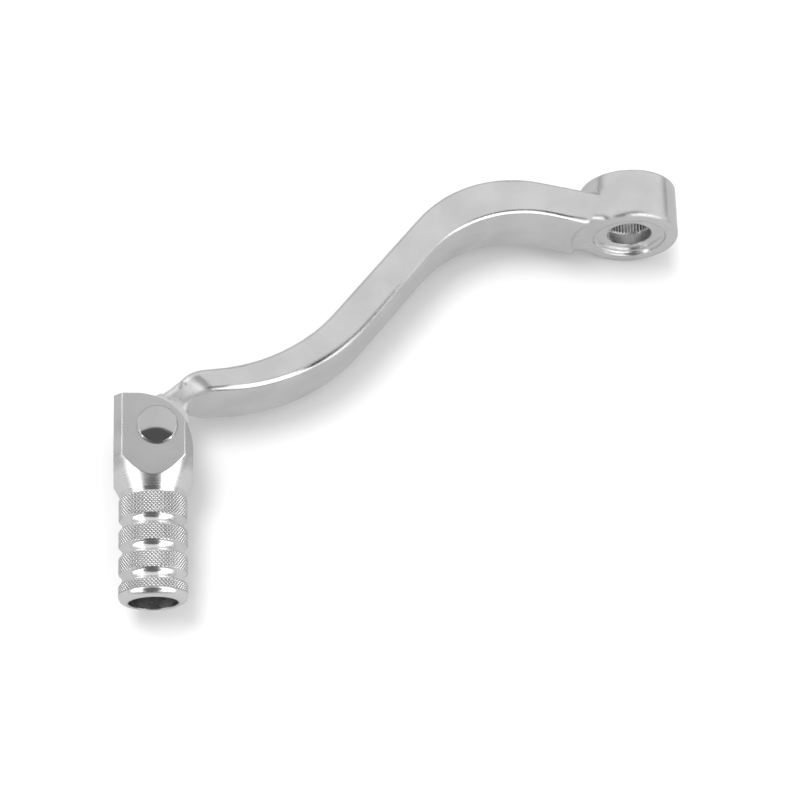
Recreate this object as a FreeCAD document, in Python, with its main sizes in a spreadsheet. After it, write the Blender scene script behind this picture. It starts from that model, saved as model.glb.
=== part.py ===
# Motorcycle gear shift lever with a folding, spring-returned toe peg.
# Origin: centre of the shaft bore at the counterbore's floor. X points to the rear, so the toe
# peg is at -X. -Y points out from the engine, along the shaft. Z points up.
import FreeCAD
import Part
import Sketcher
import math
import os
import re

V = FreeCAD.Vector

# Driving sizes in millimetres and degrees
SIZES = {
    # Boss round the gear shaft
    "boss_radius": 14.0,
    "boss_length": 15.1,
    "boss_rim": 0.9,
    "boss_back_rim": 0.5,
    "boss_blend": 3.0,
    "spotface_radius": 16.8,
    "spotface_corner": 1.2,
    "counterbore_radius": 10.5,
    "counterbore_depth": 1.45,
    "seat_corner": 0.9,
    "lead_radius": 6.5,
    "lead_depth": 3.8,
    "spline_tip_radius": 5.9,
    "spline_root_radius": 6.4,
    "spline_teeth": 40,
    "tooth_mouth_share": 1.1,
    "tooth_foot_share": 0.5,
    # Arm, seen from above: each wall is straight, shoulder bend, straight, elbow bend, straight
    "arm_height": 20.0,
    "arm_edge": 1.5,
    "arm_root_x": -6.0,
    "inner_root_y": 6.6,
    "inner_shoulder_x": -50.6,
    "inner_shoulder_y": 11.9,
    "inner_shoulder_radius": 38.3,
    "inner_elbow_x": -97.9,
    "inner_elbow_y": -52.3,
    "inner_elbow_radius": 48.5,
    "outer_root_y": -4.7,
    "outer_shoulder_x": -46.5,
    "outer_shoulder_y": 1.35,
    "outer_shoulder_radius": 37.1,
    "outer_elbow_x": -90.8,
    "outer_elbow_y": -59.0,
    "outer_elbow_radius": 54.4,
    # Tongue, measured from the pivot along and across the toe peg
    "pivot_x": -131.3,
    "pivot_y": -72.7,
    "peg_yaw": 4.07,
    "tongue_thickness": 9.4,
    "neck_x": 10.0,
    "neck_y": 15.6,
    "neck_radius": 14.0,
    "eye_radius": 9.0,
    "eye_corner_y": 5.4,
    "heel_depth": 8.0,
    "heel_width": 3.0,
    "heel_corner": 1.4,
    "cam_rest": 5.0,
    "cam_radius": 6.26,
    "flank_x": 8.06,
    "arm_corner_y": 8.8,
    "arm_corner": 1.8,
    "blade_end_x": -2.0,
    "blade_end_y": 2.0,
    "tongue_root_x": 1.0,
    "tongue_root_y": 5.0,
    "recess_radius": 10.2,
    "recess_angle": 45.0,
    "recess_top_blend": 5.0,
    "recess_foot_blend": 2.0,
    # Toe peg, measured from the pivot
    "peg_offset": 0.95,
    "block_width": 20.1,
    "block_chamfer": 2.1,
    "ear_rise": 8.75,
    "ear_corner_radius": 14.8,
    "slot_width": 10.0,
    "slot_depth": 8.3,
    "flare_face_depth": 13.4,
    "flare_angle": 27.5,
    "grip_radius": 8.77,
    "grip_end": 44.3,
    "grip_end_round": 1.9,
    "groove_first": 24.2,
    "groove_pitch": 7.1,
    "groove_count": 3,
    "groove_width": 3.2,
    "groove_depth": 0.95,
    "bore_radius": 6.31,
    "bore_start": 15.6,
    # Pivot rivet
    "pin_radius": 3.0,
    "pin_head_radius": 5.2,
    "pin_head_rim": 0.3,
    "pin_head_height": 0.95,
    "pin_dome_share": 0.97,
    "pin_foot_radius": 4.6,
    "running_clearance": 0.05,
    # Plunger, spring and plug inside the peg
    "plunger_radius": 4.5,
    "nose_round": 0.8,
    "plunger_gap": 0.15,
    "flange_gap": 0.6,
    "flange_thickness": 2.0,
    "bore_clearance": 0.2,
    "spigot_radius": 4.2,
    "spigot_length": 3.0,
    "spring_wire": 1.4,
    "spring_turns": 6,
    "spring_coil_radius": 5.2,
    "spring_seat_gap": 0.03,
    "plug_start": 35.6,
    "plug_thickness": 2.4,
    "plug_clearance": 0.01,
}

doc = FreeCAD.newDocument("ShiftLever")
sheet = doc.addObject("Spreadsheet::Sheet", "Sizes")
for row, (name, value) in enumerate(SIZES.items(), start=1):
    sheet.set(f"A{row}", str(value))
    sheet.setAlias(f"A{row}", name)
doc.recompute()


def formula(text):
    """The same formula with every size name pointing at its sheet cell."""
    return re.sub(r"[a-z_]+", lambda word: f"Sizes.{word[0]}" if word[0] in SIZES else word[0], text)


def number(text):
    """The value of a formula in the sheet's sizes."""
    return float(sheet.evalExpression(formula(text)))


def bind(thing, prop, text):
    thing.setExpression(prop, formula(text))


def new_body(label):
    body = doc.addObject("PartDesign::Body", label)
    body.Label = label
    return body


def new_sketch(body, name, plane, x="0", y="0", z="0"):
    """A sketch on one of the body's own planes, moved by formulas in the plane's own axes."""
    sketch = body.newObject("Sketcher::SketchObject", name)
    origin_plane = [item for item in body.Origin.OriginFeatures if item.Role == plane][0]
    sketch.AttachmentSupport = (origin_plane, [""])
    sketch.MapMode = "FlatFace"
    for axis, text in zip("xyz", (x, y, z)):
        bind(sketch, f"AttachmentOffset.Base.{axis}", text)
    return sketch


def place_point(sketch, geometry, end, x, y):
    """Hold a point at the place given by two formulas."""
    for kind, text in (("DistanceX", x), ("DistanceY", y)):
        index = sketch.addConstraint(Sketcher.Constraint(kind, -1, 1, geometry, end, number(text)))
        bind(sketch, f"Constraints[{index}]", text)


def draw_circle(sketch, x, y, radius):
    circle = Part.Circle(V(number(x), number(y), 0), V(0, 0, 1), number(radius))
    geometry = sketch.addGeometry(circle)
    place_point(sketch, geometry, 3, x, y)
    index = sketch.addConstraint(Sketcher.Constraint("Radius", geometry, number(radius)))
    bind(sketch, f"Constraints[{index}]", radius)


def draw_outline(sketch, corners):
    """A closed outline through corners (x, y) or rounded corners (x, y, radius), all formulas."""
    points = [V(number(corner[0]), number(corner[1]), 0) for corner in corners]
    starts, ends, rounds = [], [], []
    for index, corner in enumerate(corners):
        point = points[index]
        back = (points[index - 1] - point).normalize()
        ahead = (points[(index + 1) % len(points)] - point).normalize()
        if len(corner) == 2:
            ends.append(point)
            starts.append(point)
            rounds.append(None)
            continue
        radius = number(corner[2])
        half = back.getAngle(ahead) / 2
        reach = radius / math.tan(half)
        middle = point + (back + ahead).normalize() * (radius / math.sin(half))
        turn_left = back.cross(ahead).z < 0
        ends.append(point + back * reach)
        starts.append(point + ahead * reach)
        rounds.append((middle, radius, turn_left))
    lines = []
    for index in range(len(corners)):
        after = (index + 1) % len(corners)
        lines.append(sketch.addGeometry(Part.LineSegment(starts[index], ends[after])))
    for index, corner in enumerate(corners):
        before, line = lines[index - 1], lines[index]
        if rounds[index] is None:
            sketch.addConstraint(Sketcher.Constraint("Coincident", before, 2, line, 1))
            place_point(sketch, line, 1, corner[0], corner[1])
            continue
        middle, radius, turn_left = rounds[index]
        first, last = (ends[index], starts[index]) if turn_left else (starts[index], ends[index])
        angles = [math.atan2(spot.y - middle.y, spot.x - middle.x) for spot in (first, last)]
        circle = Part.Circle(middle, V(0, 0, 1), radius)
        arc = sketch.addGeometry(Part.ArcOfCircle(circle, angles[0], angles[1]))
        arc_in, arc_out = (1, 2) if turn_left else (2, 1)
        sketch.addConstraint(Sketcher.Constraint("Tangent", before, 2, arc, arc_in))
        sketch.addConstraint(Sketcher.Constraint("Tangent", arc, arc_out, line, 1))
        index_radius = sketch.addConstraint(Sketcher.Constraint("Radius", arc, radius))
        bind(sketch, f"Constraints[{index_radius}]", corner[2])
        apex = sketch.addGeometry(Part.Point(points[index]), True)
        sketch.addConstraint(Sketcher.Constraint("PointOnObject", apex, 1, before))
        sketch.addConstraint(Sketcher.Constraint("PointOnObject", apex, 1, line))
        place_point(sketch, apex, 1, corner[0], corner[1])


def pad(body, name, sketch, length, midplane=False, backwards=False):
    feature = body.newObject("PartDesign::Pad", name)
    feature.Profile = sketch
    feature.SideType = "Symmetric" if midplane else "One side"
    feature.Reversed = backwards
    bind(feature, "Length", length)
    doc.recompute()
    return feature


def cut(body, name, sketch, length=None, midplane=False, backwards=False):
    """A pocket of the given depth, or right through both ways."""
    feature = body.newObject("PartDesign::Pocket", name)
    feature.Profile = sketch
    feature.Reversed = backwards
    feature.SideType = "Symmetric" if midplane else "One side"
    if length is None:
        feature.Type = "ThroughAll"
    else:
        bind(feature, "Length", length)
    doc.recompute()
    return feature


def turned(body, name, sketch, removes=False):
    """A full revolution about the sketch's own vertical axis."""
    feature = body.newObject("PartDesign::Groove" if removes else "PartDesign::Revolution", name)
    feature.Profile = sketch
    feature.ReferenceAxis = (sketch, ["V_Axis"])
    feature.Angle = 360
    doc.recompute()
    return feature


def rounded(body, name, radius, wanted):
    """Fillet the edges of the body's last feature that the test picks."""
    base = body.Tip
    picked = [f"Edge{n}" for n, edge in enumerate(base.Shape.Edges, start=1) if wanted(edge)]
    feature = body.newObject("PartDesign::Fillet", name)
    feature.Base = (base, picked)
    bind(feature, "Radius", radius)
    doc.recompute()
    return feature


def from_pivot(x, y):
    """Formulas for a point given along the toe peg's own axes, measured from the pivot."""
    across = f"pivot_x + ({x}) * cos(peg_yaw) - ({y}) * sin(peg_yaw)"
    along = f"pivot_y + ({x}) * sin(peg_yaw) + ({y}) * cos(peg_yaw)"
    return across, along


def set_on_peg(body, x="0"):
    """Put a body at the pivot, turned with the toe peg and moved sideways by a formula."""
    across, along = from_pivot(x, "0")
    body.Placement = FreeCAD.Placement(V(0, 0, 0), FreeCAD.Rotation(V(0, 0, 1), number("peg_yaw")))
    bind(body, "Placement.Base.x", across)
    bind(body, "Placement.Base.y", along)
    bind(body, "Placement.Rotation.Angle", "peg_yaw * 1 deg")


def edge_middle(edge):
    return edge.valueAt((edge.FirstParameter + edge.LastParameter) / 2)


def near(one, other):
    return abs(one - other) < 1e-4


def neck_line(x):
    """Formula for the tongue's inner side, a straight line from the neck to the eye."""
    return f"neck_y - (neck_x - ({x})) * (neck_y - eye_corner_y) / (neck_x + eye_radius)"


# Lever arm: boss, S-bent arm and tongue in one piece
arm = new_body("lever_arm")
plan = new_sketch(arm, "arm_plan", "XY_Plane")
draw_outline(plan, [
    ("arm_root_x", "outer_root_y"),
    ("arm_root_x", "inner_root_y"),
    ("inner_shoulder_x", "inner_shoulder_y", "inner_shoulder_radius"),
    ("inner_elbow_x", "inner_elbow_y", "inner_elbow_radius"),
    (*from_pivot("neck_x", "neck_y"), "neck_radius"),
    from_pivot("blade_end_x", neck_line("blade_end_x")),
    from_pivot("flank_x", "blade_end_y"),
    (*from_pivot("flank_x", "arm_corner_y"), "arm_corner"),
    ("outer_elbow_x", "outer_elbow_y", "outer_elbow_radius"),
    ("outer_shoulder_x", "outer_shoulder_y", "outer_shoulder_radius"),
])
pad(arm, "arm_blade", plan, "arm_height", midplane=True)

# Round recess above and below the tongue, where the peg's ears swing
recess = new_sketch(arm, "recess_profile", "XZ_Plane", x="pivot_x", z="-pivot_y")
recess_top = "arm_height / 2 + recess_top_blend"
recess_reach = f"recess_radius + ({recess_top} - tongue_thickness / 2) / tan(recess_angle)"
for side in ("", "-"):
    draw_outline(recess, [
        ("0", f"{side}tongue_thickness / 2"),
        ("recess_radius", f"{side}tongue_thickness / 2", "recess_foot_blend"),
        (recess_reach, f"{side}({recess_top})"),
        ("0", f"{side}({recess_top})"),
    ])
turned(arm, "tongue_recess", recess, removes=True)
half_height = number("arm_height / 2")
mouth_radius = number("recess_radius + (arm_height - tongue_thickness) / 2 / tan(recess_angle)")


def is_recess_mouth(edge):
    """Whether an edge is the round mouth of the recess, on the arm's upper or lower face."""
    if not isinstance(edge.Curve, Part.Circle) or not near(abs(edge_middle(edge).z), half_height):
        return False
    return near(edge.Curve.Radius, mouth_radius)


rounded(arm, "recess_top_rounding", "recess_top_blend", is_recess_mouth)


def is_long_edge(edge):
    """Whether an edge is a straight stretch between the arm's bends, which the rounding follows on."""
    middle = edge_middle(edge)
    between = number("outer_elbow_x") < middle.x < number("inner_shoulder_x")
    return between and isinstance(edge.Curve, Part.Line) and near(abs(middle.z), half_height)


rounded(arm, "arm_edges", "arm_edge", is_long_edge)

# Tongue: eye round the pivot, stop heel, and the cam that pushes the plunger
tongue = new_sketch(arm, "tongue_plan", "XY_Plane")
draw_outline(tongue, [
    from_pivot("tongue_root_x", neck_line("tongue_root_x")),
    (*from_pivot("-eye_radius", "eye_corner_y"), "eye_radius"),
    (*from_pivot("-eye_radius", "-heel_depth"), "heel_corner"),
    (*from_pivot("heel_width - eye_radius", "-heel_depth"), "heel_corner"),
    (*from_pivot("heel_width - eye_radius", "-cam_rest"), "heel_corner"),
    (*from_pivot("flank_x", "-cam_rest"), "cam_radius"),
    from_pivot("flank_x", "tongue_root_y"),
])
pad(arm, "tongue_blade", tongue, "tongue_thickness", midplane=True)
pivot_hole = new_sketch(arm, "pivot_hole_circle", "XY_Plane")
draw_circle(pivot_hole, *from_pivot("0", "0"), "pin_radius + running_clearance")
cut(arm, "pivot_hole", pivot_hole, midplane=True)

# Boss, blended into the arm and spot-faced on its outer side
boss = new_sketch(arm, "boss_circle", "XZ_Plane", z="counterbore_depth")
draw_circle(boss, "0", "0", "boss_radius")
pad(arm, "boss", boss, "boss_length", backwards=True)

spotface = new_sketch(arm, "spotface_circle", "XZ_Plane", z="counterbore_depth")
draw_circle(spotface, "0", "0", "spotface_radius")
cut(arm, "spotface", spotface, backwards=True)


def is_spotface_corner(edge):
    """Whether an edge is the inside corner that the spot-facing cutter leaves in the arm."""
    if not isinstance(edge.Curve, Part.Circle) or not near(edge.Curve.Radius, number("spotface_radius")):
        return False
    return near(edge_middle(edge).y, -number("counterbore_depth"))


rounded(arm, "spotface_rounding", "spotface_corner", is_spotface_corner)


def is_boss_joint(edge):
    """Whether an edge lies where the arm runs into the boss's round side."""
    middle = edge_middle(edge)
    on_side = near(math.hypot(middle.x, middle.z), number("boss_radius"))
    return on_side and middle.x < 0 and not isinstance(edge.Curve, Part.Circle)


rounded(arm, "boss_blend_fillet", "boss_blend", is_boss_joint)


def is_boss_edge(edge):
    """Whether an edge is the boss's round outer edge, at either end."""
    return isinstance(edge.Curve, Part.Circle) and near(edge.Curve.Radius, number("boss_radius"))


rounded(arm, "boss_rim_rounding", "boss_rim", lambda edge: is_boss_edge(edge) and edge_middle(edge).y < 0)
rounded(arm, "boss_back_rounding", "boss_back_rim", is_boss_edge)

# Washer seat, smooth lead-in and splined bore for the gear shaft
seat = new_sketch(arm, "counterbore_circle", "XZ_Plane", z="counterbore_depth")
draw_circle(seat, "0", "0", "counterbore_radius")
cut(arm, "counterbore", seat, "counterbore_depth")


def is_seat_corner(edge):
    """Whether an edge is the inside corner at the counterbore's floor."""
    if not isinstance(edge.Curve, Part.Circle) or not near(edge.Curve.Radius, number("counterbore_radius")):
        return False
    return near(edge_middle(edge).y, 0)


rounded(arm, "seat_corner_rounding", "seat_corner", is_seat_corner)
lead = new_sketch(arm, "lead_circle", "XZ_Plane")
draw_circle(lead, "0", "0", "lead_radius")
cut(arm, "lead_bore", lead, "lead_depth")
bore = new_sketch(arm, "bore_circle", "XZ_Plane")
draw_circle(bore, "0", "0", "spline_tip_radius")
cut(arm, "spline_bore", bore)

# One tooth space, then the ring of them
space = new_sketch(arm, "tooth_space", "XZ_Plane")
mouth_half_width = "tooth_mouth_share * spline_tip_radius * sin(90 / spline_teeth)"
foot_half_width = "tooth_foot_share * spline_root_radius * sin(90 / spline_teeth)"
mouth_height = "spline_tip_radius * cos(180 / spline_teeth)"
draw_outline(space, [
    (f"-({mouth_half_width})", mouth_height),
    (f"-({foot_half_width})", "spline_root_radius"),
    (foot_half_width, "spline_root_radius"),
    (mouth_half_width, mouth_height),
])
first_space = cut(arm, "first_tooth_space", space)
teeth = arm.newObject("PartDesign::PolarPattern", "spline_ring")
teeth.Originals = [first_space]
teeth.Axis = (space, ["N_Axis"])
teeth.Angle = 360
bind(teeth, "Occurrences", "spline_teeth")
arm.Tip = teeth
doc.recompute()

# Toe peg: forked square block, flared neck and grip in one piece, with its axis beside the pivot
peg = new_body("toe_peg")
set_on_peg(peg)
left, right = "-peg_offset - block_width / 2", "block_width / 2 - peg_offset"
block = new_sketch(peg, "block_plan", "XY_Plane")
flare_end = "flare_face_depth + (block_width / 2 - grip_radius) / tan(flare_angle)"
draw_outline(block, [
    (left, f"-({flare_end})"),
    (right, f"-({flare_end})"),
    (right, "ear_rise", "ear_corner_radius"),
    (left, "ear_rise"),
])
pad(peg, "block", block, "block_width", midplane=True)

# Chamfered long corners of the square bar
bar = new_sketch(peg, "bar_section", "XZ_Plane", x="-peg_offset")
bar_half, bar_flat, bar_out = "block_width / 2", "block_width / 2 - block_chamfer", "block_width"
draw_outline(bar, [
    (f"-({bar_half})", f"-({bar_flat})"),
    (f"-({bar_flat})", f"-({bar_half})"),
    (bar_flat, f"-({bar_half})"),
    (bar_half, f"-({bar_flat})"),
    (bar_half, bar_flat),
    (bar_flat, bar_half),
    (f"-({bar_flat})", bar_half),
    (f"-({bar_half})", bar_flat),
])
draw_outline(bar, [
    (f"-{bar_out}", f"-{bar_out}"),
    (bar_out, f"-{bar_out}"),
    (bar_out, bar_out),
    (f"-{bar_out}", bar_out),
])
cut(peg, "bar_chamfers", bar, midplane=True)

# Flare turned on the square bar
flare = new_sketch(peg, "flare_profile", "XY_Plane", x="-peg_offset")
flare_start = "flare_face_depth - block_width / 2 / tan(flare_angle)"
draw_outline(flare, [
    ("grip_radius", f"-({flare_end})"),
    ("block_width", f"-({flare_start})"),
    ("block_width", f"-({flare_end} + groove_width)"),
    ("grip_radius", f"-({flare_end} + groove_width)"),
])
turned(peg, "flare", flare, removes=True)

# Grip with its rounded end
grip = new_sketch(peg, "grip_profile", "XY_Plane", x="-peg_offset")
draw_outline(grip, [
    ("0", "-flare_face_depth"),
    ("0", "-grip_end"),
    ("grip_radius", "-grip_end", "grip_end_round"),
    ("grip_radius", "-flare_face_depth"),
])
turned(peg, "grip", grip)
groove = new_sketch(peg, "groove_circle", "XY_Plane", x="-peg_offset")
groove_radius = "(groove_width ^ 2 / 4 + groove_depth ^ 2) / (2 * groove_depth)"
draw_circle(groove, f"grip_radius - groove_depth + {groove_radius}", "-groove_first", groove_radius)
first_groove = turned(peg, "first_groove", groove, removes=True)
grooves = peg.newObject("PartDesign::LinearPattern", "grooves")
grooves.Originals = [first_groove]
grooves.Direction = (groove, ["V_Axis"])
grooves.Reversed = True
bind(grooves, "Length", "groove_pitch * (groove_count - 1)")
bind(grooves, "Occurrences", "groove_count")
peg.Tip = grooves
doc.recompute()

# Slot for the tongue, rivet hole, plunger guide and spring bore
slot = new_sketch(peg, "slot_section", "YZ_Plane")
draw_outline(slot, [
    ("-slot_depth", "-slot_width / 2"),
    ("ear_rise * 2", "-slot_width / 2"),
    ("ear_rise * 2", "slot_width / 2"),
    ("-slot_depth", "slot_width / 2"),
])
cut(peg, "slot", slot, midplane=True)
rivet_hole = new_sketch(peg, "rivet_hole_circle", "XY_Plane")
draw_circle(rivet_hole, "0", "0", "pin_radius")
cut(peg, "rivet_hole", rivet_hole, midplane=True)
bores = new_sketch(peg, "bore_profile", "XY_Plane", x="-peg_offset")
draw_outline(bores, [
    ("0", "-slot_depth / 2"),
    ("plunger_radius + running_clearance", "-slot_depth / 2"),
    ("plunger_radius + running_clearance", "-bore_start"),
    ("bore_radius", "-bore_start"),
    ("bore_radius", "-grip_end * 2"),
    ("0", "-grip_end * 2"),
])
turned(peg, "bores", bores, removes=True)

# Rivet: low domed head above, spread foot below
pin = new_body("pivot_pin")
set_on_peg(pin)
rivet = new_sketch(pin, "rivet_profile", "XZ_Plane")
dome_height = "pin_head_height - pin_head_rim * 2"
dome_half = "(pin_head_radius - pin_head_rim) / 2"
dome_radius = f"pin_dome_share * {dome_half} / tan(atan(({dome_height}) / ({dome_half})) / 2)"
draw_outline(rivet, [
    ("0", "-block_width / 2 - pin_head_height"),
    ("pin_foot_radius", "-block_width / 2 - pin_head_height", "pin_head_height / 2"),
    ("pin_foot_radius", "-block_width / 2"),
    ("pin_radius", "-block_width / 2"),
    ("pin_radius", "block_width / 2"),
    ("pin_head_radius", "block_width / 2"),
    ("pin_head_radius", "block_width / 2 + pin_head_rim"),
    ("pin_head_radius - pin_head_rim", "block_width / 2 + pin_head_rim * 2"),
    (dome_half, "block_width / 2 + pin_head_height", dome_radius),
    ("0", "block_width / 2 + pin_head_height"),
])
turned(pin, "rivet", rivet)

# Plunger: nose in the guide, flange and spigot for the spring
plunger = new_body("spring_plunger")
set_on_peg(plunger, "-peg_offset")
nose = "cam_rest + plunger_gap"
flange_front = "bore_start + flange_gap"
flange_back = f"{flange_front} + flange_thickness"
plunger_profile = new_sketch(plunger, "plunger_profile", "XY_Plane")
draw_outline(plunger_profile, [
    ("0", f"-({nose})"),
    ("plunger_radius", f"-({nose})", "nose_round"),
    ("plunger_radius", f"-({flange_front})"),
    ("bore_radius - bore_clearance", f"-({flange_front})"),
    ("bore_radius - bore_clearance", f"-({flange_back})"),
    ("spigot_radius", f"-({flange_back})"),
    ("spigot_radius", f"-({flange_back} + spigot_length)"),
    ("0", f"-({flange_back} + spigot_length)"),
])
turned(plunger, "plunger", plunger_profile)

# Plug: disc that closes the bore behind the spring
plug = new_body("spring_plug")
set_on_peg(plug, "-peg_offset")
plug_profile = new_sketch(plug, "plug_profile", "XY_Plane")
draw_outline(plug_profile, [
    ("0", "-plug_start"),
    ("bore_radius - plug_clearance", "-plug_start"),
    ("bore_radius - plug_clearance", "-plug_start - plug_thickness"),
    ("0", "-plug_start - plug_thickness"),
])
turned(plug, "plug", plug_profile)

# Return spring between the plunger's flange and the plug
spring = new_body("return_spring")
set_on_peg(spring, "-peg_offset")
wire = new_sketch(spring, "wire_circle", "XY_Plane")
first_turn = f"{flange_back} + spring_seat_gap + spring_wire / 2"
draw_circle(wire, "spring_coil_radius", f"-({first_turn})", "spring_wire / 2")
coil = spring.newObject("PartDesign::AdditiveHelix", "coil")
coil.Profile = wire
coil.ReferenceAxis = (wire, ["V_Axis"])
coil.Mode = "height-turns-angle"
bind(coil, "Height", f"plug_start - spring_seat_gap - spring_wire / 2 - ({first_turn})")
bind(coil, "Turns", "spring_turns")
coil.Reversed = True
doc.recompute()

# Every object must have been rebuilt, and every piece must be one sound solid, before writing
for item in doc.Objects:
    if "Invalid" in item.State or "Error" in item.State:
        raise RuntimeError(f"{item.Name} failed: {item.State}")
pieces = [arm, peg, pin, plunger, spring, plug]
for piece in pieces:
    if piece.Shape.isNull() or not piece.Shape.isValid() or len(piece.Shape.Solids) != 1:
        raise RuntimeError(f"{piece.Label} is not one sound solid")
os.makedirs("parts", exist_ok=True)
for piece in pieces:
    piece.Shape.exportStep(f"parts/{piece.Label}.step")
    print(piece.Label, round(piece.Shape.Volume, 1), "cubic mm")
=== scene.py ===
import math

import bpy
from mathutils import Matrix, Vector


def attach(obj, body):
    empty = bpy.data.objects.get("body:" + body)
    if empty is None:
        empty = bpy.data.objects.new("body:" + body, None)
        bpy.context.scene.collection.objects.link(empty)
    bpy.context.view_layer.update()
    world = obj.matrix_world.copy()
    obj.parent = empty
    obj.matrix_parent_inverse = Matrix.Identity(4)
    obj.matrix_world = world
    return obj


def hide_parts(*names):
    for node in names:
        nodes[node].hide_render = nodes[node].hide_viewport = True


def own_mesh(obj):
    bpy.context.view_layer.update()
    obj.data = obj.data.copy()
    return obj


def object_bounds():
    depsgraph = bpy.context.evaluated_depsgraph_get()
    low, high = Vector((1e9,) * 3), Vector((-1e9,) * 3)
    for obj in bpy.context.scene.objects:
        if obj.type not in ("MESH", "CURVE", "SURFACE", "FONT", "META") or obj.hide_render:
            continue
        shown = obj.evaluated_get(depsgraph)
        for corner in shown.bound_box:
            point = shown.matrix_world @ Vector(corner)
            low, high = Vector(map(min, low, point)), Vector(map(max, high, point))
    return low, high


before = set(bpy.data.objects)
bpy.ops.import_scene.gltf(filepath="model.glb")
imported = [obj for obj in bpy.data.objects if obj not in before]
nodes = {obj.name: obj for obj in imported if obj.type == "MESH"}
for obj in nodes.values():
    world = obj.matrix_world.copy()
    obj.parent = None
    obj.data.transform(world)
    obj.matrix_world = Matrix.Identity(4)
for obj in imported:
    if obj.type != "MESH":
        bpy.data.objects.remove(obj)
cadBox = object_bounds()
mm = 0.001
upward = Vector((0, 0, 1))

# view of the lever from above its outer side
view = {
    "place": (-0.127415, -0.220147, 0.389527),
    "right": (0.98753889, 0.00933996, 0.15709774),
    "up": (-0.06857982, 0.92401029, 0.37616724),
    "back": (-0.14164654, -0.38225352, 0.91313663),
    "lens": 70.79,
    "sensor": 36.0,
    "nearest": 0.01,
}


def makeCamera():
    data = bpy.data.cameras.new("leverView")
    data.lens = view["lens"]
    data.sensor_width = view["sensor"]
    data.clip_start = view["nearest"]
    camera = bpy.data.objects.new("leverView", data)
    bpy.context.scene.collection.objects.link(camera)
    turn = Matrix((view["right"], view["up"], view["back"])).transposed().to_4x4()
    camera.matrix_world = Matrix.Translation(view["place"]) @ turn
    bpy.context.scene.camera = camera


makeCamera()
print("camera placed")


# small helpers for node trees
def addNode(tree, kind, **values):
    node = tree.nodes.new(kind)
    for name, value in values.items():
        setattr(node, name, value)
    return node


def link(tree, source, target):
    tree.links.new(source, target)


# a socket gets either a link or a plain value
def feed(tree, value, socket):
    if isinstance(value, bpy.types.NodeSocket):
        link(tree, value, socket)
    else:
        socket.default_value = value


def mathNode(tree, operation, first, second=0.0):
    node = addNode(tree, "ShaderNodeMath", operation=operation)
    feed(tree, first, node.inputs[0])
    feed(tree, second, node.inputs[1])
    return node.outputs[0]


def add(tree, first, second):
    return mathNode(tree, "ADD", first, second)


def multiply(tree, first, second):
    return mathNode(tree, "MULTIPLY", first, second)


def vectorNode(tree, operation, first, second=(0, 0, 0)):
    node = addNode(tree, "ShaderNodeVectorMath", operation=operation)
    feed(tree, first, node.inputs[0])
    feed(tree, second, node.inputs[1])
    return node.outputs["Value" if operation in ("DOT_PRODUCT", "LENGTH") else "Vector"]


def axesOf(tree, vector):
    node = addNode(tree, "ShaderNodeSeparateXYZ")
    link(tree, vector, node.inputs[0])
    return node.outputs


def smoothRange(tree, value, low, high, toLow=0.0, toHigh=1.0):
    node = addNode(tree, "ShaderNodeMapRange", interpolation_type="SMOOTHSTEP")
    link(tree, value, node.inputs["Value"])
    node.inputs["From Min"].default_value = low
    node.inputs["From Max"].default_value = high
    node.inputs["To Min"].default_value = toLow
    node.inputs["To Max"].default_value = toHigh
    return node.outputs["Result"]


def blendValues(tree, factor, first, second):
    node = addNode(tree, "ShaderNodeMix", data_type="FLOAT")
    feed(tree, factor, node.inputs["Factor"])
    feed(tree, first, node.inputs["A"])
    feed(tree, second, node.inputs["B"])
    return node.outputs["Result"]


# places of the colour sockets on a Mix node
colourA = 6
colourB = 7
colourResult = 2


def grey(tone):
    return (tone, tone, tone, 1)


# the tones are greys or sockets
def blendTones(tree, factor, first, second):
    node = addNode(tree, "ShaderNodeMix", data_type="RGBA")
    link(tree, factor, node.inputs["Factor"])
    feed(tree, grey(first) if isinstance(first, float) else first, node.inputs[colourA])
    feed(tree, grey(second) if isinstance(second, float) else second, node.inputs[colourB])
    return node.outputs[colourResult]


# light tent, as reflections see it: pale wall, darker horizon, and a dark slit in front
tent = {
    "wall": 0.74,
    "horizon": 0.43,
    "horizonEnd": (0.06, 0.34),
    "slit": 0.1,
    "slitBack": (0.28, 0.32),
    "slitCurve": 1.3,
    "slitLow": (0.12, 0.35),
    "fill": 1.03,  # even light on matt surfaces
    "seen": 1.0,  # backdrop
}


def makeTent():
    world = bpy.data.worlds.new("lightTent")
    bpy.context.scene.world = world
    world.use_nodes = True
    tree = world.node_tree
    tree.nodes.clear()
    x, y, z = axesOf(tree, addNode(tree, "ShaderNodeTexCoord").outputs["Generated"])
    curve = multiply(tree, mathNode(tree, "POWER", x, 2.0), tent["slitCurve"])
    inFront = smoothRange(tree, add(tree, y, curve), *tent["slitBack"], 1.0, 0.0)
    inSlit = multiply(tree, inFront, smoothRange(tree, z, *tent["slitLow"]))
    wall = smoothRange(tree, z, *tent["horizonEnd"], tent["horizon"], tent["wall"])
    level = blendValues(tree, inSlit, wall, tent["slit"])
    rays = addNode(tree, "ShaderNodeLightPath")
    mirrored = blendValues(tree, rays.outputs["Is Glossy Ray"], tent["fill"], level)
    seen = blendValues(tree, rays.outputs["Is Camera Ray"], mirrored, tent["seen"])
    background = addNode(tree, "ShaderNodeBackground")
    background.inputs["Color"].default_value = grey(1.0)
    link(tree, seen, background.inputs["Strength"])
    output = addNode(tree, "ShaderNodeOutputWorld")
    link(tree, background.outputs[0], output.inputs["Surface"])


makeTent()

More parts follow.
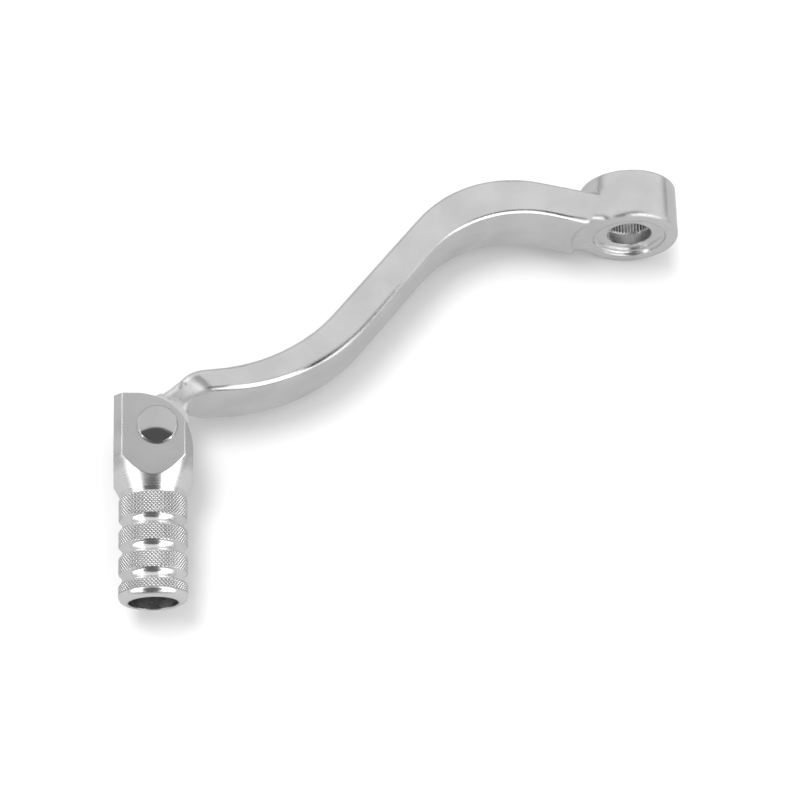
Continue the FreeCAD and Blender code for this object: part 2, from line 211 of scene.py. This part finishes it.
# light panels hung above and in front of the lever, seen only as reflections
softBoxes = {
    "rightBox": {"x": (0.0, 0.12), "y": (-0.36, -0.036), "height": 0.15, "glow": 1.7},
    "farBox": {"x": (0.12, 0.4), "y": (-0.36, -0.19), "height": 0.15, "glow": 1.7},
    "gapBox": {"x": (0.12, 0.21), "y": (-0.19, -0.095), "height": 0.15, "glow": 1.7},
    "middleBox": {"x": (-0.043, 0.0), "y": (-0.36, -0.085), "height": 0.15, "glow": 1.7},
    "leftBox": {"x": (-0.65, -0.242), "y": (-0.36, -0.05), "height": 0.15, "glow": 1.7},
    "blockCard": {"x": (-0.2, -0.163), "y": (-0.085, -0.03), "height": 0.04, "glow": 1.5},
    "elbowCard": {"x": (-0.11, -0.077), "y": (-0.115, -0.05), "height": 0.056, "glow": 1.5},
}


def makeSoftBox(name, plan):
    data = bpy.data.lights.new(name, "AREA")
    data.shape = "RECTANGLE"
    data.size = plan["x"][1] - plan["x"][0]
    data.size_y = plan["y"][1] - plan["y"][0]
    data.energy = plan["glow"] * math.pi * data.size * data.size_y
    lamp = bpy.data.objects.new(name, data)
    lamp.location = (sum(plan["x"]) / 2, sum(plan["y"]) / 2, plan["height"])
    lamp.visible_camera = False
    lamp.visible_diffuse = False
    bpy.context.scene.collection.objects.link(lamp)


for name, plan in softBoxes.items():
    makeSoftBox(name, plan)

mattRoughness = 0.9


# matt sheet for the flag and the floor
def makeSheet(name, corners, materialName):
    mesh = bpy.data.meshes.new(name)
    mesh.from_pydata(corners, [], [(0, 1, 2, 3)])
    sheet = bpy.data.objects.new(name, mesh)
    bpy.context.scene.collection.objects.link(sheet)
    material = bpy.data.materials.new(materialName)
    material.use_nodes = True
    mesh.materials.append(material)
    shader = material.node_tree.nodes["Principled BSDF"]
    shader.inputs["Roughness"].default_value = mattRoughness
    shader.inputs["Specular IOR Level"].default_value = 0.0
    return sheet, shader


# dark flag above the elbow, also seen only as a reflection
flag = {
    "corners": ((-0.089, -0.0585), (-0.066, -0.072), (-0.045, -0.033), (-0.053, -0.022)),
    "height": 0.032,
    "tone": 0.02,
}


def makeFlag():
    corners = [(x, y, flag["height"]) for x, y in flag["corners"]]
    card, shader = makeSheet("elbowFlag", corners, "darkCloth")
    shader.inputs["Base Color"].default_value = grey(flag["tone"])
    card.visible_camera = False
    card.visible_diffuse = False
    card.visible_shadow = False


makeFlag()

# key light from behind on the left, for the soft shadow, with its angles in degrees
keyLight = {"strength": 1.4, "softness": 22.0, "height": 71.0, "bearing": 152.0}


def makeKeyLight():
    data = bpy.data.lights.new("keyLight", "SUN")
    data.energy = keyLight["strength"]
    data.angle = math.radians(keyLight["softness"])
    lamp = bpy.data.objects.new("keyLight", data)
    height = math.radians(keyLight["height"])
    bearing = math.radians(keyLight["bearing"])
    level = math.cos(height)
    toLamp = Vector((math.cos(bearing) * level, math.sin(bearing) * level, math.sin(height)))
    lamp.rotation_euler = toLamp.to_track_quat("Z", "Y").to_euler()
    lamp.visible_glossy = False
    bpy.context.scene.collection.objects.link(lamp)


makeKeyLight()

# pale floor, darker and evenly lit in reflections so that the metal's sides don't mirror the shadow
floorPlan = {"half": 1.5, "gap": 0.00005, "colour": 0.82, "mirrored": 0.15, "mirroredGlow": 0.4}


def makeFloor():
    half = floorPlan["half"]
    level = cadBox[0][2] - floorPlan["gap"]
    corners = [(-half, -half, level), (half, -half, level), (half, half, level), (-half, half, level)]
    floor, shader = makeSheet("floor", corners, "paleFloor")
    tree = shader.id_data
    mirrored = addNode(tree, "ShaderNodeLightPath").outputs["Is Glossy Ray"]
    tone = blendTones(tree, mirrored, floorPlan["colour"], floorPlan["mirrored"])
    link(tree, tone, shader.inputs["Base Color"])
    shader.inputs["Emission Color"].default_value = grey(1.0)
    glow = multiply(tree, mirrored, floorPlan["mirroredGlow"])
    link(tree, glow, shader.inputs["Emission Strength"])


makeFloor()
bpy.context.scene.view_settings.view_transform = "Standard"
print("tent, key light and floor made")


# distance of a place from the line through a point along an axis
def fromAxis(tree, place, point, axis):
    shifted = vectorNode(tree, "SUBTRACT", place, point)
    across = vectorNode(tree, "CROSS_PRODUCT", shifted, axis)
    return vectorNode(tree, "LENGTH", across)


# how far a surface faces up or down
def facesUp(tree):
    normal = addNode(tree, "ShaderNodeNewGeometry").outputs["Normal"]
    return mathNode(tree, "ABSOLUTE", axesOf(tree, normal)[2])


# shared effects, each a node group
numberKind = "NodeSocketFloat"
vectorKind = "NodeSocketVector"


def newGroup(name, inputs, outputs):
    tree = bpy.data.node_groups.new(name, "ShaderNodeTree")
    for socket, kind in inputs.items():
        tree.interface.new_socket(socket, in_out="INPUT", socket_type=kind)
    for socket, kind in outputs.items():
        tree.interface.new_socket(socket, in_out="OUTPUT", socket_type=kind)
    return tree, addNode(tree, "NodeGroupInput"), addNode(tree, "NodeGroupOutput")


def addNoise(tree, place, scale, detail, roughness=0.5):
    noise = addNode(tree, "ShaderNodeTexNoise")
    link(tree, place, noise.inputs["Vector"])
    noise.inputs["Scale"].default_value = scale
    noise.inputs["Detail"].default_value = detail
    noise.inputs["Roughness"].default_value = roughness
    return noise.outputs["Fac"]


# cloudy patches and a fine grain
mottlePlan = {
    "cloud": {"scale": 85.0, "detail": 3.0},
    "cloudRange": (0.3, 0.7),
    "fine": {"scale": 1900.0, "detail": 4.0, "roughness": 0.6},
}


def makeMottle():
    outputs = {"Cloud": numberKind, "Fine": numberKind}
    tree, start, end = newGroup("mottle", {"Vector": vectorKind}, outputs)
    place = start.outputs["Vector"]
    cloud = addNoise(tree, place, **mottlePlan["cloud"])
    link(tree, smoothRange(tree, cloud, *mottlePlan["cloudRange"]), end.inputs["Cloud"])
    link(tree, addNoise(tree, place, **mottlePlan["fine"]), end.inputs["Fine"])
    return tree


# buffing streaks: noise stretched along one direction
buffingPlan = {
    "stretch": (0.05, 1.0, 1.0),
    "noise": {"scale": 3800.0, "detail": 4.0, "roughness": 0.65},
}


def makeBuffing():
    inputs = {"Vector": vectorKind, "Turn": vectorKind}
    tree, start, end = newGroup("buffing", inputs, {"Streak": numberKind})
    mapping = addNode(tree, "ShaderNodeMapping")
    link(tree, start.outputs["Vector"], mapping.inputs["Vector"])
    link(tree, start.outputs["Turn"], mapping.inputs["Rotation"])
    mapping.inputs["Scale"].default_value = buffingPlan["stretch"]
    streak = addNoise(tree, mapping.outputs["Vector"], **buffingPlan["noise"])
    link(tree, streak, end.inputs["Streak"])
    return tree


# broken edges: a rounded normal, and a mask of where it turns
edgePlan = {"samples": 6, "turn": (0.8, 0.99)}


def makeEdges():
    outputs = {"Mask": numberKind, "Normal": vectorKind}
    tree, start, end = newGroup("edges", {"Radius": numberKind}, outputs)
    bevel = addNode(tree, "ShaderNodeBevel", samples=edgePlan["samples"])
    link(tree, start.outputs["Radius"], bevel.inputs["Radius"])
    plain = addNode(tree, "ShaderNodeNewGeometry").outputs["Normal"]
    same = vectorNode(tree, "DOT_PRODUCT", bevel.outputs["Normal"], plain)
    link(tree, smoothRange(tree, same, *edgePlan["turn"], 1.0, 0.0), end.inputs["Mask"])
    link(tree, bevel.outputs["Normal"], end.inputs["Normal"])
    return tree


# tool marks round a turned piece, by place along its axis
markPlan = {"scale": 5200.0, "detail": 2.0}


def makeToolMarks():
    inputs = {"Vector": vectorKind, "Axis": vectorKind}
    tree, start, end = newGroup("toolMarks", inputs, {"Ring": numberKind})
    along = vectorNode(tree, "DOT_PRODUCT", start.outputs["Vector"], start.outputs["Axis"])
    rings = addNode(tree, "ShaderNodeTexNoise", noise_dimensions="1D")
    link(tree, along, rings.inputs["W"])
    rings.inputs["Scale"].default_value = markPlan["scale"]
    rings.inputs["Detail"].default_value = markPlan["detail"]
    link(tree, rings.outputs["Fac"], end.inputs["Ring"])
    return tree


# painted shade in closed corners and gaps, found by ambient occlusion and broken into patches
cornerShadePlan = {
    "samples": 6,
    "closed": (0.35, 0.8),
    "noise": {"scale": 700.0, "detail": 3.0},
    "patches": (0.25, 0.6),
}


def makeCornerShade():
    inputs = {"Vector": vectorKind, "Reach": numberKind}
    tree, start, end = newGroup("grime", inputs, {"Mask": numberKind})
    openness = addNode(tree, "ShaderNodeAmbientOcclusion", samples=cornerShadePlan["samples"])
    link(tree, start.outputs["Reach"], openness.inputs["Distance"])
    closed = smoothRange(tree, openness.outputs["AO"], *cornerShadePlan["closed"], 1.0, 0.0)
    noise = addNoise(tree, start.outputs["Vector"], **cornerShadePlan["noise"])
    patches = smoothRange(tree, noise, *cornerShadePlan["patches"])
    link(tree, multiply(tree, closed, patches), end.inputs["Mask"])
    return tree


mottle = makeMottle()
buffing = makeBuffing()
edges = makeEdges()
toolMarks = makeToolMarks()
grime = makeCornerShade()


def useGroup(tree, group, **values):
    node = addNode(tree, "ShaderNodeGroup", node_tree=group)
    for name, value in values.items():
        feed(tree, value, node.inputs[name])
    return node.outputs


def addBump(tree, height, distance, strength, normal=None):
    bump = addNode(tree, "ShaderNodeBump")
    link(tree, height, bump.inputs["Height"])
    bump.inputs["Distance"].default_value = distance
    bump.inputs["Strength"].default_value = strength
    if normal is not None:
        link(tree, normal, bump.inputs["Normal"])
    return bump.outputs["Normal"]


def startMetal(name):
    material = bpy.data.materials.new(name)
    material.use_nodes = True
    tree = material.node_tree
    shader = tree.nodes["Principled BSDF"]
    shader.inputs["Metallic"].default_value = 1.0
    return material, tree, shader, addNode(tree, "ShaderNodeTexCoord").outputs["Object"]


shaftCentre = (0, 0, 0)
shaftAxis = (0, 1, 0)
pivotAxis = (0, 0, 1)


# rings from the cutter and a few scuffs in the recess beside the tongue
def addMilled(tree, place, plan, tone, rough, grain):
    near = smoothRange(tree, fromAxis(tree, place, plan["centre"], pivotAxis), *plan["edge"], 1.0, 0.0)
    milled = multiply(tree, near, smoothRange(tree, facesUp(tree), *plan["facing"]))
    tone = blendTones(tree, milled, tone, plan["tone"])
    scuffs = smoothRange(tree, addNoise(tree, place, **plan["scuffs"]), *plan["scuffRange"])
    tone = blendTones(tree, multiply(tree, scuffs, milled), tone, plan["scuffTone"])
    rough = add(tree, rough, multiply(tree, milled, plan["rougher"]))
    cuts = addNode(tree, "ShaderNodeTexWave", wave_type="RINGS", rings_direction="Z")
    link(tree, vectorNode(tree, "SUBTRACT", place, plan["centre"]), cuts.inputs["Vector"])
    cuts.inputs["Scale"].default_value = plan["rings"]
    cuts.inputs["Distortion"].default_value = plan["ringBend"]
    rings = multiply(tree, multiply(tree, cuts.outputs["Fac"], milled), plan["ringShare"])
    return tone, rough, add(tree, grain, rings)


# the boss's front face is cut a little rougher
def addFaced(tree, place, plan, rough):
    near = smoothRange(tree, fromAxis(tree, place, shaftCentre, shaftAxis), *plan["radius"], 1.0, 0.0)
    front = smoothRange(tree, axesOf(tree, place)[1], *plan["depth"], plan["rougher"], 0.0)
    return add(tree, rough, multiply(tree, near, front))


# buffed metal: cloudy tone, streaked roughness, worn broken edges painted lighter as a highlight, painted
# shade in the corners
buffedLook = {"cloudShare": 0.25, "unevenRange": (0.35, 0.95)}


def makeBuffed(name, plan):
    material, tree, shader, place = startMetal(name)
    clouds = useGroup(tree, mottle, Vector=place)
    streak = useGroup(tree, buffing, Vector=place, Turn=plan["streakTurn"])["Streak"]
    radius = plan["edgeRadius"] if "edgeRadius" in plan else plan["edgeField"](tree, place)
    rims = useGroup(tree, edges, Radius=radius)
    darkening = useGroup(tree, grime, Vector=place, Reach=plan["shadeReach"])["Mask"]
    tone = blendTones(tree, clouds["Cloud"], plan["dark"], plan["light"])
    # worn edges painted lighter: wear and a painted highlight
    tone = blendTones(tree, rims["Mask"], tone, plan["edgeWearAndHighlightTone"])
    uneven = add(tree, streak, multiply(tree, clouds["Cloud"], buffedLook["cloudShare"]))
    rough = smoothRange(tree, uneven, *buffedLook["unevenRange"], *plan["roughness"])
    grain = add(tree, streak, multiply(tree, clouds["Fine"], plan["fineShare"]))
    if "milled" in plan:
        tone, rough, grain = addMilled(tree, place, plan["milled"], tone, rough, grain)
    if "faced" in plan:
        rough = addFaced(tree, place, plan["faced"], rough)
    # painted shade: the colour darkens in closed corners and gaps
    link(tree, blendTones(tree, darkening, tone, plan["shadeTone"]), shader.inputs["Base Color"])
    link(tree, rough, shader.inputs["Roughness"])
    bump = addBump(tree, grain, plan["grainDepth"], plan["grain"], rims["Normal"])
    link(tree, bump, shader.inputs["Normal"])
    return material


# turned metal: rings of tool marks round an axis
turnedLook = {
    "flat": (0.96, 0.99),
    "ringMiddle": 0.5,
    "ringShare": 0.6,
    "cloudShare": 0.4,
    "unevenRange": (0.2, 0.8),
}


# where a partly turned piece shows its turning: not on its flats and not in its bore
def turnedMask(tree, place, plan):
    along = vectorNode(tree, "DOT_PRODUCT", place, plan["axis"])
    notFlat = smoothRange(tree, facesUp(tree), *turnedLook["flat"], 1.0, 0.0)
    flare = multiply(tree, smoothRange(tree, along, *plan["turnedFrom"]), notFlat)
    isTurned = mathNode(tree, "MAXIMUM", flare, smoothRange(tree, along, *plan["roundFrom"]))
    outside = smoothRange(tree, fromAxis(tree, place, plan["start"], plan["axis"]), *plan["outside"])
    return multiply(tree, isTurned, outside)


def makeTurned(name, plan):
    material, tree, shader, place = startMetal(name)
    clouds = useGroup(tree, mottle, Vector=place)
    ring = useGroup(tree, toolMarks, Vector=place, Axis=plan["axis"])["Ring"]
    rims = useGroup(tree, edges, Radius=plan["edgeRadius"])
    darkening = useGroup(tree, grime, Vector=place, Reach=plan["shadeReach"])["Mask"]
    partly = "turnedFrom" in plan
    if partly:
        isTurned = turnedMask(tree, place, plan)
        fromMiddle = mathNode(tree, "SUBTRACT", ring, turnedLook["ringMiddle"])
        ring = add(tree, turnedLook["ringMiddle"], multiply(tree, fromMiddle, isTurned))
    cloudPart = multiply(tree, clouds["Cloud"], turnedLook["cloudShare"])
    uneven = add(tree, multiply(tree, ring, turnedLook["ringShare"]), cloudPart)
    tone = blendTones(tree, uneven, plan["dark"], plan["light"])
    if partly:
        tone = blendTones(tree, isTurned, tone, plan["turnedTone"])
    # worn edges painted lighter: wear and a painted highlight
    tone = blendTones(tree, rims["Mask"], tone, plan["edgeWearAndHighlightTone"])
    # painted shade: the colour darkens in closed corners and gaps
    link(tree, blendTones(tree, darkening, tone, plan["shadeTone"]), shader.inputs["Base Color"])
    rough = smoothRange(tree, uneven, *turnedLook["unevenRange"], *plan["roughness"])
    link(tree, rough, shader.inputs["Roughness"])
    grain = add(tree, ring, multiply(tree, clouds["Fine"], plan["fineShare"]))
    bump = addBump(tree, grain, plan["grainDepth"], plan["grain"], rims["Normal"])
    link(tree, bump, shader.inputs["Normal"])
    return material


# rolled knurl: the cut lines are painted darker, as dirt and painted shade in the valleys; the tops keep the
# plain tone
knurlLook = {"cutShare": 0.3, "unevenRange": (0.3, 0.9)}


def makeKnurl(name, plan):
    material, tree, shader, place = startMetal(name)
    clouds = useGroup(tree, mottle, Vector=place)
    ring = useGroup(tree, toolMarks, Vector=place, Axis=plan["axis"])["Ring"]
    cut = addNode(tree, "ShaderNodeAttribute", attribute_name="cut").outputs["Fac"]
    tone = blendTones(tree, clouds["Cloud"], plan["dark"], plan["light"])
    # dirt and painted shade: darker colour deep in the cut lines
    darkening = smoothRange(tree, cut, *plan["cutDarkFrom"])
    link(tree, blendTones(tree, darkening, tone, plan["cutTone"]), shader.inputs["Base Color"])
    uneven = add(tree, ring, multiply(tree, cut, knurlLook["cutShare"]))
    rough = smoothRange(tree, uneven, *knurlLook["unevenRange"], *plan["roughness"])
    link(tree, rough, shader.inputs["Roughness"])
    bump = addBump(tree, clouds["Fine"], plan["grainDepth"], plan["grain"])
    link(tree, bump, shader.inputs["Normal"])
    return material


# the arm's edges are broken more at the boss's front rim and the elbow, and hardly at all on the spline
armRounding = {
    "plain": 0.7 * mm,
    "spline": 0.01 * mm,
    "splineEnd": (6.42 * mm, 6.49 * mm),
    "rim": 1.3 * mm,
    "rimInside": (11.5 * mm, 12.5 * mm),
    "rimOutside": (19 * mm, 24 * mm),
    "rimDepth": (1 * mm, 4 * mm),
    "elbow": 1.0 * mm,
    "elbowAt": (-76 * mm, -40 * mm, 0),
    "elbowReach": (10 * mm, 30 * mm),
}


def armEdges(tree, place):
    fromShaft = fromAxis(tree, place, shaftCentre, shaftAxis)
    spline = armRounding["spline"]
    plain = smoothRange(tree, fromShaft, *armRounding["splineEnd"], spline, armRounding["plain"])
    inside = smoothRange(tree, fromShaft, *armRounding["rimInside"])
    outside = smoothRange(tree, fromShaft, *armRounding["rimOutside"], 1.0, 0.0)
    front = smoothRange(tree, axesOf(tree, place)[1], *armRounding["rimDepth"], armRounding["rim"], 0.0)
    rim = multiply(tree, multiply(tree, inside, outside), front)
    fromElbow = fromAxis(tree, place, armRounding["elbowAt"], pivotAxis)
    elbow = smoothRange(tree, fromElbow, *armRounding["elbowReach"], armRounding["elbow"], 0.0)
    return add(tree, add(tree, plain, rim), elbow)


# the peg's own directions, and where its axis starts
pegAxis = Vector((0.070975, -0.997478, 0.0))
pegSide = Vector((0.997478, 0.070975, 0.0))
pegStart = Vector((-132.2476, -72.7674, 0.0)) * mm
pegZero = pegStart.dot(pegAxis)

armFinish = {
    "dark": 0.76, "light": 0.85, "edgeWearAndHighlightTone": 0.86, "edgeField": armEdges, "roughness": (0.1, 0.22),
    "streakTurn": (0.0, 0.0, -0.6), "fineShare": 0.5, "grainDepth": 0.004 * mm, "grain": 0.5,
    "shadeReach": 0.5 * mm, "shadeTone": 0.35,
    "milled": {
        "centre": (-131.3 * mm, -72.7 * mm, 0), "edge": (13.5 * mm, 19.0 * mm), "facing": (0.1, 0.4),
        "tone": 0.8, "rougher": 0.5, "rings": 900.0, "ringBend": 1.5, "ringShare": 2.0,
        "scuffs": {"scale": 420.0, "detail": 2.0}, "scuffRange": (0.6, 0.68), "scuffTone": 0.5,
    },
    "faced": {"radius": (15.5 * mm, 17.0 * mm), "depth": (0.3 * mm, 1.5 * mm), "rougher": 0.07},
}
blockFinish = {
    "turnedFrom": (pegZero + 9.5 * mm, pegZero + 12 * mm),
    "roundFrom": (pegZero + 14.6 * mm, pegZero + 15.2 * mm),
    "turnedTone": 0.92, "start": tuple(pegStart), "outside": (6.6 * mm, 6.9 * mm),
    "dark": 0.67, "light": 0.75, "edgeWearAndHighlightTone": 0.82, "edgeRadius": 0.4 * mm, "roughness": (0.2, 0.36),
    "axis": tuple(pegAxis), "fineShare": 0.6, "grainDepth": 0.004 * mm, "grain": 0.5,
    "shadeReach": 0.5 * mm, "shadeTone": 0.25,
}
gripFinish = {
    "dark": 0.83, "light": 0.93, "cutTone": 0.26, "cutDarkFrom": (0.3, 0.95), "roughness": (0.18, 0.34),
    "axis": tuple(pegAxis), "grainDepth": 0.003 * mm, "grain": 0.4,
}
pinFinish = {
    "dark": 0.64, "light": 0.72, "edgeWearAndHighlightTone": 0.78, "edgeRadius": 0.12 * mm, "roughness": (0.04, 0.12),
    "streakTurn": (0.0, 0.0, 0.9), "fineShare": 0.4, "grainDepth": 0.002 * mm, "grain": 0.4,
    "shadeReach": 0.3 * mm, "shadeTone": 0.3,
}
plungerFinish = {
    "dark": 0.4, "light": 0.52, "edgeWearAndHighlightTone": 0.6, "edgeRadius": 0.2 * mm, "roughness": (0.2, 0.36),
    "axis": tuple(pegAxis), "fineShare": 0.5, "grainDepth": 0.006 * mm, "grain": 0.6,
    "shadeReach": 0.5 * mm, "shadeTone": 0.2,
}
springFinish = {
    "dark": 0.34, "light": 0.48, "edgeWearAndHighlightTone": 0.52, "edgeRadius": 0.05 * mm, "roughness": (0.24, 0.4),
    "streakTurn": (0.0, 0.0, 0.0), "fineShare": 0.8, "grainDepth": 0.005 * mm, "grain": 0.5,
    "shadeReach": 0.3 * mm, "shadeTone": 0.2,
}
# the plug seen deep in the peg's end hole is near black: painted shade in the hole
plugShadeFinish = {
    "dark": 0.05, "light": 0.1, "edgeWearAndHighlightTone": 0.16, "edgeRadius": 0.2 * mm, "roughness": (0.4, 0.6),
    "axis": tuple(pegSide), "fineShare": 0.8, "grainDepth": 0.01 * mm, "grain": 0.6,
    "shadeReach": 0.6 * mm, "shadeTone": 0.03,
}
finishes = {
    "lever_arm": makeBuffed("polishedArm", armFinish),
    "toe_peg": makeTurned("machinedPeg", blockFinish),
    "pivot_pin": makeBuffed("rivetHead", pinFinish),
    "spring_plunger": makeTurned("plungerSteel", plungerFinish),
    "return_spring": makeBuffed("springWire", springFinish),
    "spring_plug": makeTurned("plugSteel", plugShadeFinish),
}
for name, material in finishes.items():
    nodes[name].data.materials.clear()
    nodes[name].data.materials.append(material)
gripMetal = makeKnurl("knurledGrip", gripFinish)
print("finishes made")

# toe peg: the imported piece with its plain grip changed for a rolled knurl, sizes in mm
knurl = {
    "start": 15.859, "end": 42.4, "radius": 8.77, "inside": 7.5,
    "lines": 56, "depth": 0.32, "flat": 0.1, "cutEnd": 42.3,
    "around": 392, "step": 0.1406, "grooveStep": 0.2, "margin": 0.1, "lastMargin": 0.08,
    "neckEnd": 17.0, "neckSlope": 0.5206, "crest": 0.35,
    "grooves": (24.2, 31.3, 38.4), "grooveWidth": 3.2, "grooveDepth": 0.95,
    "slack": 0.02, "ringSlack": 0.1,
}
weldSteps = 1e7  # steps in a metre, corners in the same step become one


def outward(angle):
    return pegSide * math.sin(angle) + upward * math.cos(angle)


def gripSpot(station, angle, radius):
    return pegStart + (pegAxis * station + outward(angle) * radius) * mm


def gripPlace(point):
    fromStart = (Vector(point) - pegStart) / mm
    across = fromStart.dot(pegSide)
    return fromStart.dot(pegAxis), math.atan2(across, fromStart.z), math.hypot(across, fromStart.z)


# depth of the crossing cuts, from 0 on the tops to 1 at the bottom
def knurlCut(station, angle):
    if not knurl["neckEnd"] < station < knurl["cutEnd"]:
        return 0.0
    byTurn = angle / (2 * math.pi) * knurl["lines"]
    byLength = station * knurl["lines"] / (2 * math.pi * knurl["radius"])
    deepest = 0.0
    for turn in (byTurn + byLength, byTurn - byLength):
        deepest = max(deepest, 1 - abs(turn - round(turn)) / (0.5 - knurl["flat"]))
    return deepest


# radius of the grip before it is knurled: neck, crest and round grooves
def grooveRadius(station):
    full = knurl["radius"]
    width = knurl["grooveWidth"]
    depth = knurl["grooveDepth"]
    neck = full - knurl["neckSlope"] * (knurl["neckEnd"] - knurl["start"])
    if station < knurl["neckEnd"]:
        return full - knurl["neckSlope"] * (station - knurl["start"])
    if station < knurl["neckEnd"] + knurl["crest"]:
        return neck + (full - neck) * (station - knurl["neckEnd"]) / knurl["crest"]
    curve = (width ** 2 / 4 + depth ** 2) / (2 * depth)
    for middle in knurl["grooves"]:
        off = station - middle
        if abs(off) < width / 2:
            return full - depth + curve - math.sqrt(curve ** 2 - off ** 2)
    return full


def gripRows():
    rows = []
    station = knurl["start"] + knurl["margin"]
    while station < knurl["end"] - knurl["margin"]:
        rows.append(station)
        inGroove = any(abs(station - middle) < knurl["grooveWidth"] / 2 for middle in knurl["grooves"])
        station += knurl["grooveStep"] if inGroove else knurl["step"]
    return rows + [knurl["end"] - knurl["lastMargin"]]


# triangles between two rings of (angle, index), sorted by angle
def zipRings(first, second):
    faces = []
    i = 0
    j = 0
    while i < len(first) or j < len(second):
        nextFirst = first[(i + 1) % len(first)][0] + (2 * math.pi if i + 1 >= len(first) else 0)
        nextSecond = second[(j + 1) % len(second)][0] + (2 * math.pi if j + 1 >= len(second) else 0)
        a = first[i % len(first)][1]
        b = second[j % len(second)][1]
        if j >= len(second) or (i < len(first) and nextFirst <= nextSecond):
            faces.append((a, first[(i + 1) % len(first)][1], b))
            i += 1
        else:
            faces.append((a, second[(j + 1) % len(second)][1], b))
            j += 1
    return faces


def addSpot(build, point, normal=None, cut=0.0):
    build["spots"].append(tuple(point))
    build["normals"].append(normal)
    build["cuts"].append(cut)
    return len(build["spots"]) - 1


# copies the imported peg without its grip, and gives the rings left open at the grip's ends
def keepBlock(build, source):
    slack = knurl["slack"]
    places = [gripPlace(v.co) for v in source.vertices]
    found = {}
    rings = {"start": {}, "end": {}}
    for face in source.polygons:
        seen = [places[v] for v in face.vertices]
        if all(knurl["start"] - slack < s < knurl["end"] + slack and r > knurl["inside"] for s, a, r in seen):
            continue
        corners = []
        for v in face.vertices:
            point = source.vertices[v].co
            key = tuple(round(value * weldSteps) for value in point)
            if key not in found:
                found[key] = addSpot(build, point)
            corners.append(found[key])
        if len(set(corners)) < len(corners):
            continue
        build["faces"].append(corners)
        build["kinds"].append(0)
        build["cornerNormals"].extend(tuple(source.corner_normals[k].vector) for k in face.loop_indices)
        for corner, (station, angle, radius) in zip(corners, seen):
            for end in rings:
                if abs(station - knurl[end]) < slack and abs(radius - knurl["radius"]) < knurl["ringSlack"]:
                    rings[end][corner] = angle
    return {end: sorted((angle, corner) for corner, angle in ring.items()) for end, ring in rings.items()}


# rows of spots over the knurled grip, with the normals of the cut surface
def makeGrid(build, rows, angles):
    around = knurl["around"]
    heights = []
    depths = []
    for station in rows:
        rim = grooveRadius(station)
        cutRow = [knurlCut(station, angle) for angle in angles]
        heights.append([min(rim, knurl["radius"] - knurl["depth"] * cut) for cut in cutRow])
        depths.append([cut if knurl["radius"] - knurl["depth"] * cut < rim else 0.0 for cut in cutRow])
    grid = []
    for i, station in enumerate(rows):
        low = max(i - 1, 0)
        high = min(i + 1, len(rows) - 1)
        ring = []
        for k, angle in enumerate(angles):
            radius = heights[i][k]
            slopeAlong = (heights[high][k] - heights[low][k]) / (rows[high] - rows[low])
            arc = radius * 4 * math.pi / around
            slopeRound = (heights[i][(k + 1) % around] - heights[i][k - 1]) / arc
            tangent = pegSide * math.cos(angle) - upward * math.sin(angle)
            normal = (outward(angle) - pegAxis * slopeAlong - tangent * slopeRound).normalized()
            ring.append(addSpot(build, gripSpot(station, angle, radius), normal, depths[i][k]))
        grid.append(ring)
    return grid


def makeToePeg():
    build = {"spots": [], "normals": [], "cuts": [], "faces": [], "kinds": [], "cornerNormals": []}
    openRings = keepBlock(build, nodes["toe_peg"].data)
    around = knurl["around"]
    rows = gripRows()
    angles = [-math.pi + 2 * math.pi * (k + 0.5) / around for k in range(around)]
    grid = makeGrid(build, rows, angles)
    newFaces = []
    for i in range(len(rows) - 1):
        for k in range(around):
            after = (k + 1) % around
            newFaces.append((grid[i][k], grid[i + 1][k], grid[i + 1][after], grid[i][after]))
    firstRing = list(zip(angles, grid[0]))
    lastRing = list(zip(angles, grid[-1]))
    newFaces += [face[::-1] for face in zipRings(openRings["start"], firstRing)]
    newFaces += zipRings(openRings["end"], lastRing)
    for face in newFaces:
        build["faces"].append(face)
        build["kinds"].append(1)
        for corner in face:
            normal = build["normals"][corner]
            if normal is None:
                normal = outward(gripPlace(build["spots"][corner])[1])
            build["cornerNormals"].append(tuple(normal))

    mesh = bpy.data.meshes.new("toe_peg_knurled")
    mesh.from_pydata(build["spots"], [], build["faces"])
    mesh.polygons.foreach_set("use_smooth", [True] * len(build["faces"]))
    mesh.polygons.foreach_set("material_index", build["kinds"])
    mesh.attributes.new("cut", "FLOAT", "POINT").data.foreach_set("value", build["cuts"])
    mesh.materials.append(finishes["toe_peg"])
    mesh.materials.append(gripMetal)
    mesh.normals_split_custom_set(build["cornerNormals"])
    mesh.update()
    peg = bpy.data.objects.new("toe_peg_knurled", mesh)
    bpy.context.scene.collection.objects.link(peg)
    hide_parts("toe_peg")
    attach(peg, "folding_peg")
    ringSizes = [len(ring) for ring in openRings.values()]
    print("knurled toe peg:", len(build["faces"]), "faces, joined to rings of", ringSizes)


makeToePeg()


def makeSpring():
    coil = bpy.data.objects.new("return_spring_coil", nodes["return_spring"].data.copy())
    bpy.context.scene.collection.objects.link(coil)
    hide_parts("return_spring")
    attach(coil, "folding_peg")
    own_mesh(coil)


makeSpring()
